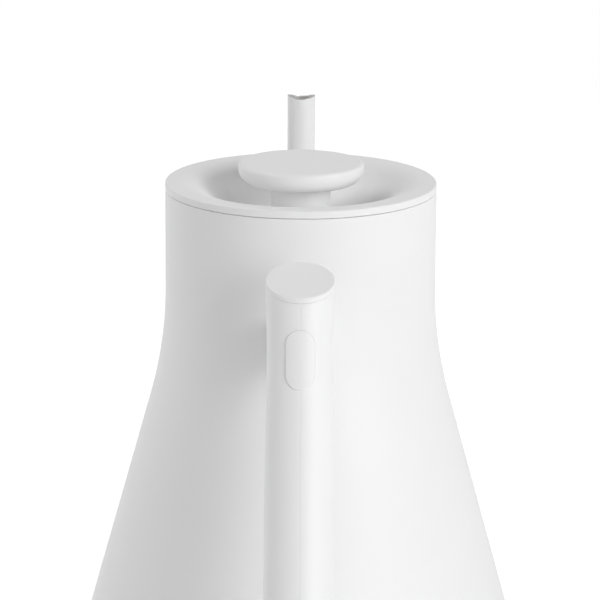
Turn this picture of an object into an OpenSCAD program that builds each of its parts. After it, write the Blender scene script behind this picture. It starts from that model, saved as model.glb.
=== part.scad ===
// Gooseneck kettle with a flush lid and a leaning round grip.
// +Z is up, the spout is on +Y and the handle on -Y.
// The origin is the centre of the flat face that the kettle rests on.

/* [Body] */
// Height of the body, from the resting face to the lid seam
body_h = 162; // [140:1:200]
// Outer radius of the straight neck
neck_r = 46; // [43:0.5:52]
// Height of the straight part of the neck
neck_h = 33.3; // [28:0.1:40]
// Radius of the concave flare between neck and cone
flare_r = 145; // [100:1:180]
// Angle of the cone from vertical
cone_angle = 15.54; // [12:0.1:18]
// Thickness of the body wall
wall = 0.8; // [0.6:0.1:1.2]
// Radius of the rounded lower edge
foot_r = 4; // [3:0.5:6]

/* [Base] */
// Thickness of the outer and inner base sheets
base_sheet = 0.8; // [0.6:0.1:1.2]
// Thickness of the aluminium core
core_t = 2.4; // [2:0.1:4]
// Radius of the aluminium core
core_r = 62; // [50:0.5:63]
// Outer radius of the resting disc
base_r = 67; // [65:0.5:68]

/* [Mouth] */
// Width of the flat ring between the neck's outer side and the mouth
ring_w = 7; // [6:0.5:9]
// Height of the collar inside the neck
collar_h = 15; // [12:0.5:18]
// Thickness of the collar
collar_t = 1; // [0.8:0.1:1.5]

/* [Lid] */
// Gap between the body and the lid
lid_gap = 0.35; // [0.3:0.05:0.6]
// Height of the lid's edge
lid_edge_h = 2.3; // [1.8:0.1:3]
// Width of the flat rim band
rim_w = 4.6; // [3:0.1:6]
// Depth of the bowl below the rim band
bowl_depth = 11; // [8:0.5:12]
// Radius of the rounded shoulder inside the rim band
shoulder_r = 9; // [6:0.5:12]
// Radius of the concave blend at the foot of the bowl's slope
hollow_r = 20; // [12:1:24]
// Angle of the bowl's slope
bowl_angle = 34; // [28:1:40]
// Thickness of the lid sheet
lid_t = 1; // [0.8:0.1:1.4]
// Depth of the skirt that enters the mouth, measured from the body rim
skirt_h = 13; // [12.5:0.5:15]
// Gap between the skirt and the mouth
skirt_gap = 1.6; // [1.4:0.1:2.2]

/* [Knob] */
// Largest radius of the knob
knob_r = 21.3; // [18:0.1:24]
// Thickness of the knob
knob_t = 6.9; // [5:0.1:9]
// Radius of the knob's rounded lower edge
knob_edge_r = 5; // [3:0.1:6]
// Radius of the knob's upper edge
knob_top_r = 0.8; // [0.4:0.1:1.5]
// Height of the knob's top above the body rim
knob_z = 9.2; // [8.5:0.1:14]
// Radius of the stem
stem_r = 10.1; // [9:0.1:12]
// Radius of the stem's bore
stem_bore_r = 6; // [5:0.1:6.5]
// Radius of the whistle's holes
whistle_r = 1.1; // [0.8:0.1:1.5]

/* [Spout] */
// Outer radius of the spout tube
spout_r = 5.05; // [4.5:0.05:7]
// Wall of the spout tube
spout_wall = 0.75; // [0.6:0.05:1.2]
// Height of the spout's root above the resting face
spout_root_z = 34; // [26:1:45]
// Angle above horizontal at which the spout leaves the body
spout_root_angle = 22; // [15:1:35]
// Steepest lean of the spout, as an angle above horizontal
spout_lean = 78; // [72:1:83]
// Bend radius at the root
bend_low_r = 42; // [30:1:50]
// Bend radius under the tip
bend_high_r = 90; // [60:1:120]
// Distance outwards from the spout's root to its tip
spout_reach = 45.2; // [38:0.1:56]
// Height of the tip above the body rim
spout_tip_z = 10.4; // [0:0.1:20]
// Radius of the curved cut across the tip
tip_cut_r = 11.3; // [8:0.1:20]
// Distance of the cut's axis behind the tube's axis
tip_shift = 0.65; // [0:0.05:1]

/* [Handle] */
// Lean of the grip from vertical
grip_lean = 22; // [18:0.5:24]
// Outer radius of the grip
grip_r = 11.15; // [10.5:0.05:13]
// Depth of the grip's waist
waist_d = 0.55; // [0:0.05:1]
// Gain in the grip's radius towards its lower end
grip_gain = 0.25; // [0:0.05:0.6]
// Length of the grip along its axis
grip_l = 128; // [110:1:136]
// Wall of the grip halves
grip_wall = 2.4; // [2:0.1:3]
// Length of the arm, from the neck to the grip's axis
arm_l = 36.1; // [34:0.1:42]
// Distance of the arm's axis below the body rim
arm_drop = 38; // [34:0.5:44]
// Length of the grip above the arm's axis
grip_above = 26.2; // [25:0.1:32]
// Tilt of the grip's top face
top_tilt = 12; // [6:0.5:18]
// Thickness of the top cap
cap_t = 1.5; // [1.2:0.1:3]
// Outer radius of the arm
arm_r = 8; // [7.5:0.1:9]

/* [Button] */
// Width of the button
button_w = 9.4; // [8.5:0.1:10]
// Height of the button
button_h = 18; // [15:0.1:20]
// Height of the button's middle above the arm's axis
button_up = 3; // [0:0.1:4]
// How far the button stands out of the grip
button_proud = 0.35; // [0:0.05:0.8]
// Travel of the button
button_travel = 1.8; // [1:0.1:2]
// Gap around the button
button_gap = 0.3; // [0.3:0.05:0.6]
// Radius of the push rod
rod_r = 1.4; // [1.2:0.1:1.6]
// Radius of the spring wire
wire_r = 0.4; // [0.3:0.05:0.5]
// Number of spring coils
coils = 6; // [4:1:9]

/* [Fits] */
// Gap between parts that move past each other
clearance = 0.3; // [0.25:0.05:0.4]
// Gap between parts that are seated one in the other
seat_gap = 0.05; // [0.02:0.01:0.1]
// Radial gap of a sliding rod in its bush
run_gap = 0.05; // [0.02:0.01:0.1]

/* [Hidden] */
$fn = 96;

// Body outline: cone, flare and neck, each set in from the outside by t.
flare_z = body_h - neck_h;
flare_x = neck_r + flare_r;
cone_z = flare_z - flare_r * sin(cone_angle);
cone_x = flare_x - flare_r * cos(cone_angle);
lip_z = base_sheet + core_t - wall;
function cone_rad(z) = cone_x + (cone_z - z) * tan(cone_angle);
function body_rad(z) = z > flare_z ? neck_r
    : z > cone_z ? flare_x - sqrt(pow(flare_r, 2) - pow(flare_z - z, 2))
    : cone_rad(z);

// Base stack, from the resting face up.
floor_z = lip_z + wall;
lip_r = core_r + clearance;
foot_z = lip_z + foot_r;
foot_x = cone_rad(foot_z) - foot_r / cos(cone_angle);
floor_r = foot_x - seat_gap;

// Lid levels.
rim_z = body_h;
lid_z = rim_z + lid_gap;
mouth_r = neck_r - ring_w;
lid_top_z = lid_z + lid_edge_h;
bowl_z = lid_top_z - bowl_depth;
skirt_z = rim_z - skirt_h;
skirt_r = mouth_r - skirt_gap;
knob_top_z = rim_z + knob_z;
knob_low_z = knob_top_z - knob_t;
edge_t = 1.2;
edge_round = 0.5;
liner_t = 1;
gasket_h = 4.5;
gasket_z = skirt_z + 2.6;
bead_h = 0.8;
bead_w = 0.6;
nut_h = 4;
nut_r = 11.6;
seal_r = 10.6;
slot_up = 2;
slot_turn = 40;
stem_end_z = skirt_z - nut_h - 1;
thread_r = 7.6;

// Bowl profile: shoulder arc, straight slope and hollow arc, all tangent.
shoulder_x = neck_r - rim_w;
slope_x = shoulder_x - shoulder_r * sin(bowl_angle);
slope_z = lid_top_z - shoulder_r * (1 - cos(bowl_angle));
hollow_z = bowl_z + hollow_r * (1 - cos(bowl_angle));
slope_end_x = slope_x - (slope_z - hollow_z) / tan(bowl_angle);
hollow_x = slope_end_x - hollow_r * sin(bowl_angle);

// Whistle: two drilled discs held apart by a ring.
disc_t = 0.8;
ring_h = 3;
whistle_z = stem_end_z + 1;
ledge_z = whistle_z + 2 * disc_t + ring_h + seat_gap;
ledge_r = stem_bore_r - 1.2;
slot_w = 1.8;
slot_h = 5;
spigot_l = 2.5;

// Spout path in the YZ plane: low bend, straight lean, high bend, straight tip.
spout_bore = spout_r - spout_wall;
root_sink = 2;
tube_in = 3;
tip_z = rim_z + spout_tip_z;
root_y = body_rad(spout_root_z) - root_sink;
tip_y = root_y + spout_reach;
stub_l = 10;
collar_in = 6;
collar_root_r = spout_r + 5;
collar_end_r = spout_r + 0.6;
stub_y = root_y + stub_l * cos(spout_root_angle);
stub_z = spout_root_z + stub_l * sin(spout_root_angle);
low_dy = bend_low_r * (sin(spout_lean) - sin(spout_root_angle));
high_dy = bend_high_r * (1 - sin(spout_lean));
lean_l = (tip_y - stub_y - low_dy - high_dy) / cos(spout_lean);
tip_base_z = stub_z + bend_low_r * (cos(spout_root_angle) - cos(spout_lean))
    + lean_l * sin(spout_lean) + bend_high_r * cos(spout_lean);

// Grip axis: s runs down from the middle of the top face.
arm_z = rim_z - arm_drop;
grip_y = neck_r + arm_l;
bar_w = 12;
bar_t = 4.8;
bar_top = 9;
bar_end = grip_l - 14;
tube_r = 6;
tube_bore = 4.2;
cavity_r = grip_r - waist_d - grip_wall;
waist_s = 25;
waist_up = 24;
waist_down = 33;
gain_s = 57;
gain_l = 70;
rib_s = [48, 74, 100];
rib_t = 2;
end_h = 8;
end_round = 3;
end_spigot = 4;
cap_spigot_s = 12;
screw_r = 1.5;
screw_in = 11;
screw_head_r = 2.9;
screw_head_h = 2.2;
screw_sink = 4;
screw_tip = 2;
hex_r = 1.3;
socket_t = 1.3;
function waist(s) = let(h = s < waist_s ? waist_up : waist_down)
    abs(s - waist_s) < h ? pow(cos(90 * (s - waist_s) / h), 2) : 0;
function grip_rad(s) = grip_r - waist_d * waist(s) + grip_gain * max(0, s - gain_s) / gain_l;

// Arm, from the neck outwards.
bolt_r = tube_bore - seat_gap;
bolt_bore = 2.8;
bolt_l = 9;
bolt_head_r = 6.4;
bolt_head_t = 2;
gasket_t = 0.5;
washer_t = 2.4;
washer_r = bolt_head_r + 0.8;
washer_y = neck_r - wall - washer_t;
seat_y = washer_y - bolt_head_t;
bush_l = 7;
bush_back = 16;
bush_y = grip_y - bush_back;
vent_y = (neck_r + bolt_l + bush_y) / 2;
vent_r = 1.2;

// Button and valve.
flange_n = bar_t / 2 + (button_travel + clearance) * cos(grip_lean);
flange_t = 1;
flange_lip = 0.9;
rod_end_y = grip_y + flange_n / cos(grip_lean) + 3;
boss_r = 3.4;
rod_nut_r = 3.1;
rod_tip = 0.6;
seal_t = 1;
disc_r = 5.4;
valve_t = 1.2;
valve_y = seat_y - clearance - seal_t;
rod_nut_h = 2.2;
spring_r = 2.6;
spring_y0 = bush_y + bush_l;
spring_y1 = grip_y + bar_t / 2 / cos(grip_lean);

white = [0.93, 0.93, 0.93];
steel = [0.72, 0.72, 0.73];

// ---- Shared shapes ----

module tube(r, bore, h) {
    difference() {
        cylinder(r = r, h = h);
        translate([0, 0, -1]) cylinder(r = bore, h = h + 2);
    }
}

// Half outline of the body, set in by t, from the lip up to height top.
module body_outline(t, top) {
    edge = foot_r - t;
    difference() {
        polygon([[0, lip_z + t], [foot_x, lip_z + t], [foot_x, foot_z],
            [foot_x + edge * cos(cone_angle), foot_z + edge * sin(cone_angle)],
            [flare_x - (flare_r + t) * cos(cone_angle), flare_z - (flare_r + t) * sin(cone_angle)],
            [neck_r - t, flare_z], [neck_r - t, top], [0, top]]);
        translate([flare_x, flare_z]) circle(r = flare_r + t, $fn = 200);
    }
    translate([foot_x, foot_z]) circle(r = edge);
}

module body_solid(t, top) {
    rotate_extrude($fn = 200) body_outline(t, top);
}

// A cylinder along -Y, from distance y0 out to distance y1.
module along_arm(r, y0, y1) {
    translate([0, -y0, arm_z]) rotate([90, 0, 0]) cylinder(r = r, h = y1 - y0);
}

// Places children on the grip's axis, with +Z up along it and s = 0 at the top face.
module on_grip(s = 0) {
    translate([0, -grip_y, arm_z]) rotate([-grip_lean, 0, 0]) translate([0, 0, grip_above - s]) children();
}

// Places children on the tilted top face of the grip.
module on_grip_top(down = 0) {
    on_grip(0) rotate([grip_lean + top_tilt, 0, 0]) translate([0, 0, -down]) children();
}

// The grip's outer shape, grown by g, before its ends are cut.
module grip_solid(g = 0) {
    steps = 40;
    on_grip(0) rotate_extrude()
        polygon(concat([[0, -grip_l], [0, 16], [grip_rad(0) + g, 16]],
            [for (i = [0:steps]) let(s = grip_l * i / steps) [grip_rad(s) + g, -s]]));
}

// Pill-shaped bar along Y through the grip's outer side, grown by g.
module pill(g) {
    w = button_w + 2 * g;
    h = button_h + 2 * g;
    translate([0, -grip_y, arm_z + button_up]) rotate([90, 0, 0]) linear_extrude(height = 2 * grip_r) {
        square([w, h - w], center = true);
        for (side = [-1, 1]) translate([0, side * (h - w) / 2]) circle(r = w / 2);
    }
}

// ---- Body ----

module body_shell() color(white) {
    difference() {
        body_solid(0, rim_z);
        body_solid(wall, rim_z + 1);
        translate([0, 0, lip_z - 1]) cylinder(r = lip_r, h = wall + 2);
        along_arm(bolt_r + seat_gap, neck_r - 4, neck_r + 4);
        spout_root() translate([0, 0, -12]) cylinder(r = spout_r + seat_gap, h = 30);
    }
}

module neck_ring() color(steel) {
    inner = neck_r - wall - seat_gap;
    difference() {
        union() {
            translate([0, 0, rim_z - collar_t]) cylinder(r = inner, h = collar_t);
            translate([0, 0, rim_z - collar_h]) cylinder(r = mouth_r + collar_t, h = collar_h);
        }
        translate([0, 0, rim_z - collar_h - 1]) cylinder(r = mouth_r, h = collar_h + 2);
    }
}

module base_floor() color(steel)
    translate([0, 0, floor_z]) cylinder(r = floor_r, h = base_sheet);

module base_core() color([0.78, 0.78, 0.8])
    translate([0, 0, base_sheet]) cylinder(r = core_r, h = core_t);

module base_cap() color(steel)
    difference() {
        cylinder(r = base_r, h = lip_z);
        translate([0, 0, base_sheet]) cylinder(r = base_r - base_sheet, h = lip_z);
    }

// ---- Spout ----

// Frame at the spout's root, with +Z along the tube's first direction.
module spout_root()
    translate([0, root_y, spout_root_z]) rotate([spout_root_angle - 90, 0, 0]) children();

// Rings of the spout as [y, z, angle above horizontal]; the last one is trimmed by the tip's cut.
spout_rings = concat(
    [[root_y - tube_in * cos(spout_root_angle),
        spout_root_z - tube_in * sin(spout_root_angle), spout_root_angle]],
    [for (i = [0:16]) let(a = spout_root_angle + (spout_lean - spout_root_angle) * i / 16)
        [stub_y + bend_low_r * (sin(a) - sin(spout_root_angle)),
            stub_z + bend_low_r * (cos(spout_root_angle) - cos(a)), a]],
    [for (i = [0:6]) let(a = spout_lean + (90 - spout_lean) * i / 6)
        [tip_y - bend_high_r * (1 - sin(a)), tip_base_z - bend_high_r * cos(a), a]],
    [[tip_y, tip_z, 90]]);

function tip_height(y) = tip_z - tip_cut_r + sqrt(pow(tip_cut_r, 2) - pow(y - tip_y + tip_shift, 2));

function ring_points(ring, r, sides, last) = [for (j = [0:sides - 1])
    let(b = 360 * j / sides, y = ring[0] - r * sin(b) * sin(ring[2]))
    [r * cos(b), y, last ? tip_height(y) : ring[1] + r * sin(b) * cos(ring[2])]];

// Closed mesh of the bent tube: outer wall, bore and the two end faces.
module spout_tube() color(white) {
    sides = 40;
    last = len(spout_rings) - 1;
    inner = (last + 1) * sides;
    points = [for (r = [spout_r, spout_bore]) for (i = [0:last])
        for (p = ring_points(spout_rings[i], r, sides, i == last)) p];
    walls = [for (i = [0:last - 1]) for (j = [0:sides - 1])
        let(k = (j + 1) % sides, a = i * sides, b = a + sides)
        each [[a + j, b + j, b + k, a + k], [inner + a + k, inner + b + k, inner + b + j, inner + a + j]]];
    ends = [for (j = [0:sides - 1]) let(k = (j + 1) % sides, e = last * sides)
        each [[j, k, inner + k, inner + j], [e + k, e + j, inner + e + j, inner + e + k]]];
    polyhedron(points, concat(walls, ends));
}

module spout_collar() color(white)
    difference() {
        spout_root() translate([0, 0, -collar_in])
            cylinder(r1 = collar_root_r, r2 = collar_end_r, h = stub_l + collar_in);
        body_solid(-seat_gap, rim_z);
        spout_root() translate([0, 0, -2 * collar_in])
            cylinder(r = spout_r + seat_gap, h = stub_l + 3 * collar_in);
    }

// ---- Lid ----

// Half outline of everything under the lid's upper side, set in by t, from height low up to radius r.
module lid_outline(t, low, r) {
    round_r = shoulder_r - t;
    deep_r = hollow_r + t;
    round_z = lid_top_z - shoulder_r;
    slope = [shoulder_x - round_r * sin(bowl_angle), round_z + round_r * cos(bowl_angle)];
    difference() {
        polygon([[0, low], [r, low], [r, lid_top_z - t],
            [shoulder_x - round_r * tan(bowl_angle / 2), lid_top_z - t],
            [hollow_x + deep_r * sin(bowl_angle), bowl_z + hollow_r - deep_r * cos(bowl_angle)],
            [hollow_x, bowl_z - t], [0, bowl_z - t]]);
        translate([hollow_x, bowl_z + hollow_r]) circle(r = deep_r);
        difference() {
            polygon([[shoulder_x, round_z], [shoulder_x, lid_top_z + 1],
                [slope[0] - 1, lid_top_z + 1], slope]);
            translate([shoulder_x, round_z]) circle(r = round_r);
        }
    }
}

module lid_shell() color(white)
    difference() {
        rotate_extrude($fn = 200) difference() {
            lid_outline(0, bowl_z - lid_t - 1, neck_r);
            lid_outline(lid_t, bowl_z - lid_t - 2, neck_r - edge_t);
            translate([neck_r - edge_t - 1, bowl_z - 20]) square([edge_t + 2, 20 + lid_z - bowl_z]);
            difference() {
                translate([neck_r - edge_round, lid_top_z - edge_round]) square(edge_round + 1);
                translate([neck_r - edge_round, lid_top_z - edge_round]) circle(r = edge_round);
            }
        }
        cylinder(r = thread_r + seat_gap, h = bowl_z + 1);
    }

module lid_liner() color(steel)
    difference() {
        rotate_extrude() intersection() {
            union() {
                translate([0, skirt_z]) square([skirt_r, liner_t]);
                translate([skirt_r - liner_t, skirt_z]) square([liner_t, 40]);
                for (z = [gasket_z - bead_h - seat_gap, gasket_z + gasket_h + seat_gap])
                    translate([skirt_r - liner_t, z]) square([liner_t + bead_w, bead_h]);
            }
            lid_outline(lid_t + seat_gap, skirt_z - 1, neck_r);
        }
        translate([0, 0, skirt_z - 1]) cylinder(r = thread_r + seat_gap, h = liner_t + 2);
    }

module lid_gasket() color([0.85, 0.85, 0.85])
    rotate_extrude() difference() {
        translate([skirt_r + seat_gap, gasket_z])
            square([mouth_r - clearance - skirt_r - seat_gap, gasket_h]);
        translate([mouth_r - clearance, gasket_z + gasket_h / 2]) circle(r = gasket_h / 5);
    }

// ---- Knob and whistle ----

module knob_cap() color(white) {
    corner = knob_r - knob_edge_r;
    rotate_extrude() {
        translate([0, knob_low_z]) square([corner, knob_t]);
        translate([0, knob_low_z + knob_edge_r]) square([knob_r, knob_t - knob_edge_r - knob_top_r]);
        translate([0, knob_low_z + knob_edge_r]) square([knob_r - knob_top_r, knob_t - knob_edge_r]);
        intersection() {
            translate([corner, knob_low_z + knob_edge_r]) circle(r = knob_edge_r);
            translate([0, knob_low_z]) square([knob_r, knob_edge_r]);
        }
        translate([knob_r - knob_top_r, knob_top_z - knob_top_r]) circle(r = knob_top_r);
    }
    translate([0, 0, knob_low_z - spigot_l]) cylinder(r = ledge_r - seat_gap, h = spigot_l + 1);
}

module knob_stem() color(white)
    difference() {
        union() {
            translate([0, 0, bowl_z + seat_gap])
                cylinder(r = stem_r, h = knob_low_z - bowl_z - 2 * seat_gap);
            translate([0, 0, stem_end_z]) cylinder(r = thread_r, h = bowl_z - stem_end_z + 1);
        }
        translate([0, 0, stem_end_z - 1]) cylinder(r = stem_bore_r, h = ledge_z - stem_end_z + 1);
        translate([0, 0, ledge_z - 1]) cylinder(r = ledge_r, h = 40);
        for (a = [-slot_turn, 0, slot_turn]) rotate([0, 0, a])
            translate([-slot_w / 2, 0, bowl_z + slot_up]) cube([slot_w, stem_r + 2, slot_h]);
    }

module stem_seal() color([0.85, 0.85, 0.85])
    translate([0, 0, skirt_z + liner_t + seat_gap])
        tube(seal_r, thread_r + seat_gap, bowl_z - lid_t - skirt_z - liner_t - 2 * seat_gap);

module stem_nut() color(steel)
    translate([0, 0, skirt_z - nut_h])
        difference() {
            cylinder(r = nut_r, h = nut_h, $fn = 6);
            translate([0, 0, -1]) cylinder(r = thread_r + seat_gap, h = nut_h + 2);
        }

module whistle_disc(z) color(steel)
    translate([0, 0, z]) tube(stem_bore_r - seat_gap, whistle_r, disc_t);

module whistle_lower_disc() whistle_disc(whistle_z);

module whistle_upper_disc() whistle_disc(whistle_z + disc_t + ring_h);

module whistle_spacer() color(steel)
    translate([0, 0, whistle_z + disc_t]) tube(stem_bore_r - seat_gap, stem_bore_r - 1.5, ring_h);

// ---- Handle ----

module handle_bracket() color(steel)
    difference() {
        union() {
            on_grip(bar_end) translate([-bar_w / 2, -bar_t / 2, 0]) cube([bar_w, bar_t, bar_end - bar_top]);
            along_arm(tube_r, neck_r - 2, grip_y);
        }
        body_solid(-gasket_t - seat_gap, rim_z);
        along_arm(tube_bore, neck_r - 4, grip_y + 10);
        vent_hole();
        on_grip(bar_end) translate([0, 0, -1]) cylinder(r = screw_r + seat_gap, h = screw_in + 1);
    }

// Steam port under the arm.
module vent_hole()
    translate([0, -vent_y, arm_z - arm_r - 1]) cylinder(r = vent_r, h = arm_r + 1, $fn = 32);

module arm_cover() color(white)
    difference() {
        along_arm(arm_r, neck_r - 2, grip_y);
        body_solid(-gasket_t - seat_gap, rim_z);
        grip_solid(seat_gap);
        along_arm(tube_r + seat_gap, neck_r - 4, grip_y + 10);
        vent_hole();
    }

module arm_gasket() color([0.6, 0.6, 0.6])
    difference() {
        intersection() {
            along_arm(arm_r - 0.3, neck_r - 4, neck_r + 4);
            body_solid(-gasket_t, rim_z);
        }
        body_solid(-2 * seat_gap, rim_z);
        along_arm(bolt_r + seat_gap, neck_r - 6, neck_r + 6);
    }

module arm_washer() color(steel)
    difference() {
        intersection() {
            along_arm(washer_r, washer_y, neck_r);
            body_solid(wall + 2 * seat_gap, rim_z);
        }
        along_arm(bolt_r + seat_gap, neck_r - 10, neck_r + 6);
    }

module arm_bolt() color(steel)
    difference() {
        union() {
            along_arm(bolt_head_r, seat_y, washer_y);
            along_arm(bolt_r, washer_y - 1, neck_r + bolt_l);
        }
        along_arm(bolt_bore, seat_y - 2, neck_r + bolt_l + 2);
    }

module rod_bush() color([0.9, 0.9, 0.85])
    difference() {
        along_arm(tube_bore - seat_gap, bush_y, bush_y + bush_l);
        along_arm(rod_r + run_gap, bush_y - 1, bush_y + bush_l + 1);
    }

// Everything above the plane that lies down below the grip's top face.
module above_top(down)
    on_grip_top(down) translate([-30, -30, 0]) cube([60, 60, 60]);

module grip_half(side) color(white)
    difference() {
        grip_solid();
        translate([side > 0 ? -60 + seat_gap : -seat_gap, -200, -50]) cube([60, 200, 300]);
        above_top(cap_t + seat_gap);
        on_grip(grip_l + 1) translate([0, 0, -19]) cylinder(r = 30, h = end_h + 20 + seat_gap);
        for (i = [0:len(rib_s)]) {
            top = i == 0 ? -20 : rib_s[i - 1] + rib_t / 2;
            low = i == len(rib_s) ? grip_l : rib_s[i] - rib_t / 2;
            on_grip(low) cylinder(r = cavity_r, h = low - top);
        }
        on_grip(bar_end + 1) translate([-bar_w / 2 - seat_gap, -bar_t / 2 - seat_gap, 0])
            cube([bar_w + 2 * seat_gap, bar_t + 2 * seat_gap, bar_end]);
        pill(button_gap);
        along_arm(tube_r + seat_gap, neck_r, grip_y);
    }

module grip_left() grip_half(-1);

module grip_right() grip_half(1);

module grip_top_cap() color(white) {
    difference() {
        grip_solid();
        above_top(0);
        difference() {
            on_grip(grip_l + 10) translate([0, 0, -10]) cylinder(r = 60, h = grip_l + 60);
            above_top(cap_t);
        }
    }
    difference() {
        on_grip(cap_spigot_s) tube(cavity_r - seat_gap, cavity_r - socket_t, cap_spigot_s + 20);
        above_top(cap_t - 0.5);
    }
}

module grip_bottom_cap() color(white) {
    r = grip_rad(grip_l - end_h);
    on_grip(grip_l) difference() {
        union() {
            rotate_extrude() {
                square([r - end_round, end_h]);
                translate([0, end_round]) square([r, end_h - end_round]);
                translate([r - end_round, end_round]) circle(r = end_round);
            }
            translate([0, 0, end_h - 1]) cylinder(r = cavity_r - seat_gap, h = end_spigot + 1);
        }
        translate([0, 0, end_h + 1]) cylinder(r = cavity_r - socket_t, h = end_spigot);
        translate([0, 0, -1]) cylinder(r = screw_r + clearance, h = end_h + 3);
        translate([0, 0, -1]) cylinder(r = screw_head_r + clearance, h = screw_sink + 1);
    }
}

module bottom_screw() color(steel)
    on_grip(grip_l - screw_sink) difference() {
        union() {
            translate([0, 0, -screw_head_h]) cylinder(r = screw_head_r, h = screw_head_h);
            cylinder(r = screw_r, h = grip_l - screw_sink - bar_end + screw_in - screw_tip);
        }
        translate([0, 0, -screw_head_h - 1]) cylinder(r = hex_r, h = screw_head_h, $fn = 6);
    }

// ---- Button and valve ----

module vent_button() color(white) {
    flange_mid = grip_above + (flange_n + flange_t / 2) * tan(grip_lean) - button_up / cos(grip_lean);
    flange_w = button_w + 2 * flange_lip;
    flange_h = button_h / cos(grip_lean) + 2 * flange_lip;
    difference() {
        union() {
            intersection() {
                pill(0);
                grip_solid(button_proud);
                on_grip(grip_above) translate([-20, -flange_n - 30, -30]) cube([40, 30, 60]);
            }
            on_grip(flange_mid) translate([-flange_w / 2, -flange_n - flange_t, -flange_h / 2])
                cube([flange_w, flange_t, flange_h]);
            along_arm(boss_r, spring_y1, grip_y + flange_n / cos(grip_lean) + 1);
        }
        along_arm(rod_r + seat_gap, grip_y, rod_end_y + seat_gap);
    }
}

module push_rod() color(steel)
    along_arm(rod_r, valve_y - valve_t - rod_nut_h - rod_tip, rod_end_y);

// Closed mesh of a round wire wound around the arm's axis.
module button_spring() color([0.6, 0.6, 0.62]) {
    sides = 8;
    turn = 20;
    steps = coils * turn;
    h = spring_y1 - spring_y0 - 2 * wire_r - 0.1;
    rings = [for (i = [0:steps]) let(a = 360 * i / turn) [for (j = [0:sides - 1])
        let(b = 360 * j / sides, r = spring_r + wire_r * cos(b))
        [r * cos(a), r * sin(a), wire_r + 0.05 + h * i / steps + wire_r * sin(b)]]];
    points = [for (ring = rings) for (p = ring) p];
    walls = [for (i = [0:steps - 1]) for (j = [0:sides - 1]) let(k = (j + 1) % sides)
        [i * sides + j, (i + 1) * sides + j, (i + 1) * sides + k, i * sides + k]];
    ends = [[for (j = [0:sides - 1]) j], [for (j = [sides - 1:-1:0]) steps * sides + j]];
    translate([0, -spring_y0, arm_z]) rotate([90, 0, 0]) polyhedron(points, concat(walls, ends));
}

module valve_disc() color(steel)
    difference() {
        along_arm(disc_r, valve_y - valve_t, valve_y);
        along_arm(rod_r + seat_gap, valve_y - valve_t - 1, valve_y + 1);
    }

module valve_seal() color([0.6, 0.6, 0.6])
    difference() {
        along_arm(disc_r - 0.6, valve_y, valve_y + seal_t);
        along_arm(rod_r + seat_gap, valve_y - 1, valve_y + seal_t + 1);
    }

module valve_nut() color(steel)
    translate([0, -(valve_y - valve_t - rod_nut_h), arm_z]) rotate([90, 0, 0]) difference() {
        cylinder(r = rod_nut_r, h = rod_nut_h, $fn = 6);
        translate([0, 0, -1]) cylinder(r = rod_r + seat_gap, h = rod_nut_h + 2);
    }

body_shell();
neck_ring();
base_floor();
base_core();
base_cap();
spout_tube();
spout_collar();
lid_shell();
lid_liner();
lid_gasket();
knob_cap();
knob_stem();
stem_seal();
stem_nut();
whistle_lower_disc();
whistle_spacer();
whistle_upper_disc();
handle_bracket();
arm_cover();
arm_gasket();
arm_washer();
arm_bolt();
rod_bush();
grip_left();
grip_right();
grip_top_cap();
grip_bottom_cap();
bottom_screw();
vent_button();
push_rod();
button_spring();
valve_disc();
valve_seal();
valve_nut();
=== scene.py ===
"""A gooseneck kettle with a flush bowl-shaped lid, a mushroom knob and a leaning round grip.

Every size below is in millimetres. Z = 0 is the worktop, the spout points to +Y and the handle
to -Y. Shapes are worked out as whole arrays of points and turned to metres as each mesh is made.
"""
import math

import bmesh
import bpy
import numpy as np
from mathutils import Matrix, Vector


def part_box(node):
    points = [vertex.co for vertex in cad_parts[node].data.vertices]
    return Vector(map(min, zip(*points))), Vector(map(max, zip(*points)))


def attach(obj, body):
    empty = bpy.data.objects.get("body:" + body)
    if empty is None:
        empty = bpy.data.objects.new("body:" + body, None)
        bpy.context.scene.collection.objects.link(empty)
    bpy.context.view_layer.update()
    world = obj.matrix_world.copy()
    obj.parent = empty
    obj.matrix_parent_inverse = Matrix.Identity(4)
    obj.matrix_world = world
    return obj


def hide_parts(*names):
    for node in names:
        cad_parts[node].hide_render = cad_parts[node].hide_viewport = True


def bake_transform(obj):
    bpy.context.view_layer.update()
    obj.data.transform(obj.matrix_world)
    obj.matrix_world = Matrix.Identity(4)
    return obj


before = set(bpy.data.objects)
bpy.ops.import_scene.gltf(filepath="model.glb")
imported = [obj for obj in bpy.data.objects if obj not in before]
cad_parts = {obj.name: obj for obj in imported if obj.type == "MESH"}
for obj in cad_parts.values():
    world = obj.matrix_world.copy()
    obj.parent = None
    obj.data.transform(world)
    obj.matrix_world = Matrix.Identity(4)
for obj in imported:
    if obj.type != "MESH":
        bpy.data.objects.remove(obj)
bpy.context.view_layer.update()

MM = 0.001
WELDS_PER_MM = 1e4
SOLVE_STEPS = 12
HALVINGS = 40


def cad(node, corner, axis):
    """One coordinate of a CAD node's box in millimetres: corner 0 is the low one, 1 the high one."""
    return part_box(node)[corner][axis] / MM


# ---- Sizes shared with the construction ----

SEAM_Z = cad("body_shell", 1, 2)
NECK_R = cad("lid_shell", 1, 0)
WALL = 0.8
LINING_T = 1.0
FIT = 0.05
NECK_H = 33.3
FLARE_R = 145.0
CONE = math.radians(15.54)
FOOT_R = 4.0
LIP_Z = cad("body_shell", 0, 2)
LIP_R = 62.3
FLARE_Z = SEAM_Z - NECK_H
FLARE_X = NECK_R + FLARE_R
CONE_Z = FLARE_Z - FLARE_R * math.sin(CONE)
CONE_X = FLARE_X - FLARE_R * math.cos(CONE)
FOOT_Z = LIP_Z + FOOT_R
FOOT_X = CONE_X + (CONE_Z - FOOT_Z) * math.tan(CONE) - FOOT_R / math.cos(CONE)

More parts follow.
